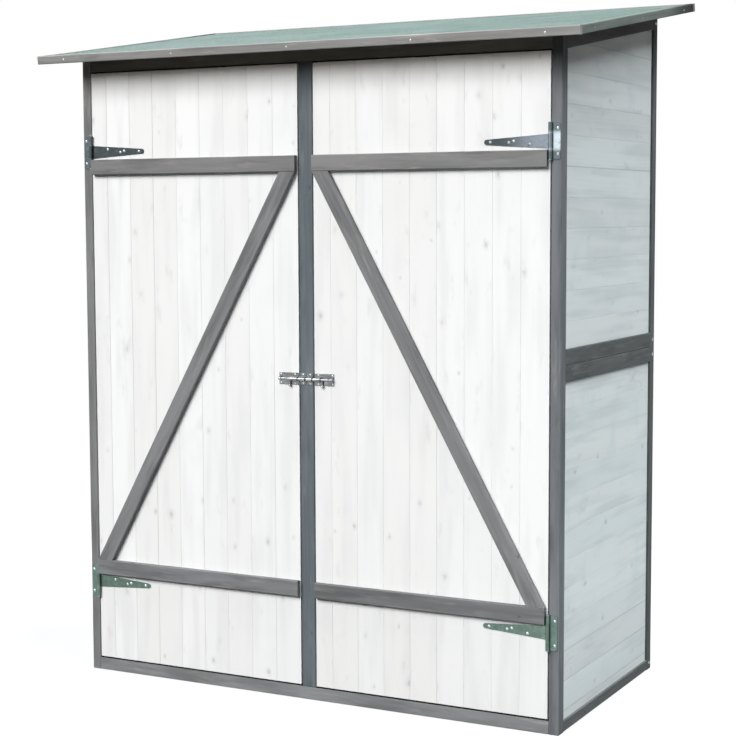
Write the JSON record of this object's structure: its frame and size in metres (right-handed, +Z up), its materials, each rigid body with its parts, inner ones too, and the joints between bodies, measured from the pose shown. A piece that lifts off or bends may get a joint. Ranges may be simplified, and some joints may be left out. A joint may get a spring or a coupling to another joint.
{
  "type": "garden storage cabinet",
  "caption": "Wooden garden storage cabinet with two ledged and braced doors, T-hinges, barrel bolts, a shelf and a felted pent roof.",
  "frame": {"origin": "on the ground, under the middle of the whole object's box, which the roof sets", "axes": "+Z up, -Y out of the doors, +X to the right of someone who faces the doors"},
  "size_m": [1.3536, 0.7726, 1.6006],
  "materials": {
    "grey_stained_timber": "opaque grey wood stain, matt, grain just showing",
    "white_washed_boards": "thin white wash over fir, with knots and grain showing through",
    "bare_fir": "planed bare fir",
    "green_roofing_felt": "bitumen roofing felt with fine green mineral grit",
    "zinc_plated_steel": "bright zinc plated"
  },
  "bodies": {
    "cabinet": {"front_top_rail": "grey_stained_timber", "front_bottom_rail": "grey_stained_timber", "centre_post": "grey_stained_timber", "right_front_post": "grey_stained_timber", "left_front_post": "grey_stained_timber", "back_lower_frame": "grey_stained_timber", "back_upper_frame": "grey_stained_timber", "back_lower_boards": "white_washed_boards", "back_upper_boards": "white_washed_boards", "hinge_pins": "zinc_plated_steel", "body_screws": "zinc_plated_steel", "panel_screws": "zinc_plated_steel", "right_bolt_keep": "zinc_plated_steel", "left_bolt_keep": "zinc_plated_steel", "roof_boards": "bare_fir", "roof_felt": "green_roofing_felt", "front_fascia": "grey_stained_timber", "back_fascia": "grey_stained_timber", "right_barge_board": "grey_stained_timber", "left_barge_board": "grey_stained_timber", "roof_rafter": "bare_fir", "roof_nails": "zinc_plated_steel", "floor_boards": "bare_fir", "middle_floor_bearer": "bare_fir", "back_floor_bearer": "bare_fir", "shelf_boards": "bare_fir", "right_shelf_cleat": "bare_fir", "left_shelf_cleat": "bare_fir", "middle_shelf_bearer": "bare_fir", "right_lower_side_frame": "grey_stained_timber", "right_upper_side_frame": "grey_stained_timber", "right_lower_side_boards": "white_washed_boards", "right_upper_side_boards": "white_washed_boards", "right_upper_hinge_plate": "zinc_plated_steel", "right_lower_hinge_plate": "zinc_plated_steel", "left_lower_side_frame": "grey_stained_timber", "left_upper_side_frame": "grey_stained_timber", "left_lower_side_boards": "white_washed_boards", "left_upper_side_boards": "white_washed_boards", "left_upper_hinge_plate": "zinc_plated_steel", "left_lower_hinge_plate": "zinc_plated_steel"},
    "right_door": {"right_door_boards": "white_washed_boards", "right_upper_ledge": "grey_stained_timber", "right_lower_ledge": "grey_stained_timber", "right_door_brace": "grey_stained_timber", "right_door_screws": "zinc_plated_steel", "right_bolt_plate": "zinc_plated_steel", "right_upper_hinge_strap": "zinc_plated_steel", "right_lower_hinge_strap": "zinc_plated_steel"},
    "left_door": {"left_door_boards": "white_washed_boards", "left_upper_ledge": "grey_stained_timber", "left_lower_ledge": "grey_stained_timber", "left_door_brace": "grey_stained_timber", "left_door_screws": "zinc_plated_steel", "left_bolt_plate": "zinc_plated_steel", "left_upper_hinge_strap": "zinc_plated_steel", "left_lower_hinge_strap": "zinc_plated_steel"},
    "right_bolt": {"right_bolt_rod": "zinc_plated_steel"},
    "left_bolt": {"left_bolt_rod": "zinc_plated_steel"}
  },
  "joints": [
    {"name": "right_door_hinge", "type": "hinge", "parent": "cabinet", "child": "right_door", "pos_m": [0.58375, -0.30839, 0.736], "axis": [0, 0, 1], "range_deg": [0, 145]},
    {"name": "left_door_hinge", "type": "hinge", "parent": "cabinet", "child": "left_door", "pos_m": [-0.58375, -0.30839, 0.736], "axis": [0, 0, -1], "range_deg": [0, 145]},
    {"name": "right_bolt_slide", "type": "slide", "parent": "right_door", "child": "right_bolt", "axis": [1, 0, 0], "range_m": [0, 0.0185]},
    {"name": "left_bolt_slide", "type": "slide", "parent": "left_door", "child": "left_bolt", "axis": [-1, 0, 0], "range_m": [0, 0.0185]}
  ]
}
